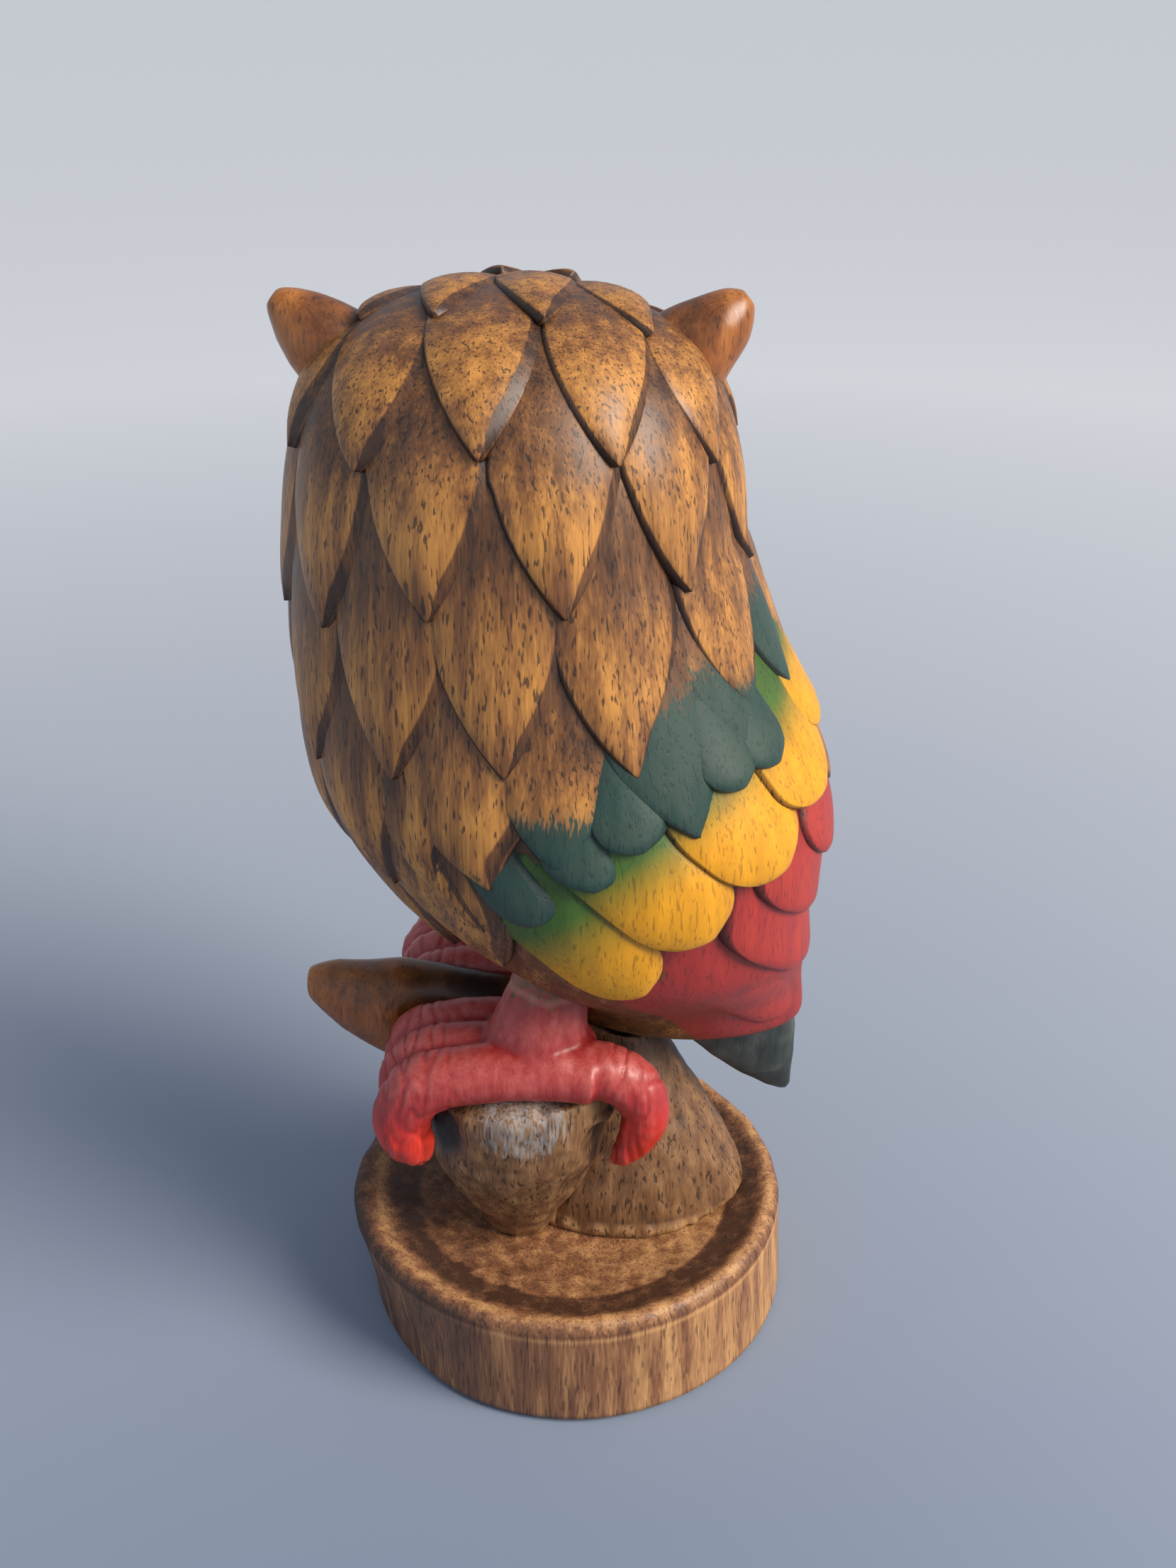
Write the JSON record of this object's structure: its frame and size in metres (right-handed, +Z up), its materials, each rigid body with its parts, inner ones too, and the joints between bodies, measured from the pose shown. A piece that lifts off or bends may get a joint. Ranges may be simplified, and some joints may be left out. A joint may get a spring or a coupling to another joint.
{
  "type": "owl figurine",
  "caption": "Carved and painted wooden owl with turned head, standing on a carved stump on a round dished base.",
  "frame": {"origin": "centre of the base's flat underside, where it rests", "axes": "+Z up, +X the way the bird's breast points, +Y the bird's left; the turned head looks along -Y"},
  "size_m": [0.0962, 0.0873, 0.199],
  "materials": {
    "base_wood": "brown stain and clear lacquer on upright grain, worn at the rim",
    "stump_wood": "brown stain, matt, darker in the hollows",
    "feather_wood": "golden-brown stain rubbed back on the feathers, dark in the grooves, satin lacquer",
    "wing_paint": "stained wood with dark green, yellow and red artists' acrylic, satin lacquer",
    "tail_paint": "dark grey-green acrylic, satin",
    "bare_wood": "clear-lacquered orange-brown wood",
    "foot_paint": "red acrylic over wood, satin, worn",
    "eye_paint": "painted wooden ball with a yellow ring and black pupil, gloss lacquer",
    "dowel_wood": "plain glued dowel"
  },
  "bodies": {
    "root": {"base": "base_wood", "stump": "stump_wood", "left_perch_knob": "stump_wood", "right_perch_knob": "stump_wood", "branch_stub": "bare_wood", "body": "feather_wood", "left_wing": "wing_paint", "right_wing": "wing_paint", "tail": "tail_paint", "left_ear_tuft": "bare_wood", "right_ear_tuft": "bare_wood", "beak": "bare_wood", "left_eye": "eye_paint", "right_eye": "eye_paint", "left_foot": "foot_paint", "right_foot": "foot_paint", "base_dowel": "dowel_wood", "trunk_dowel": "dowel_wood", "left_leg_dowel": "dowel_wood", "right_leg_dowel": "dowel_wood", "tail_dowel": "dowel_wood", "ear_tuft_pins": "dowel_wood", "wing_pins": "dowel_wood"}
  },
  "joints": []
}
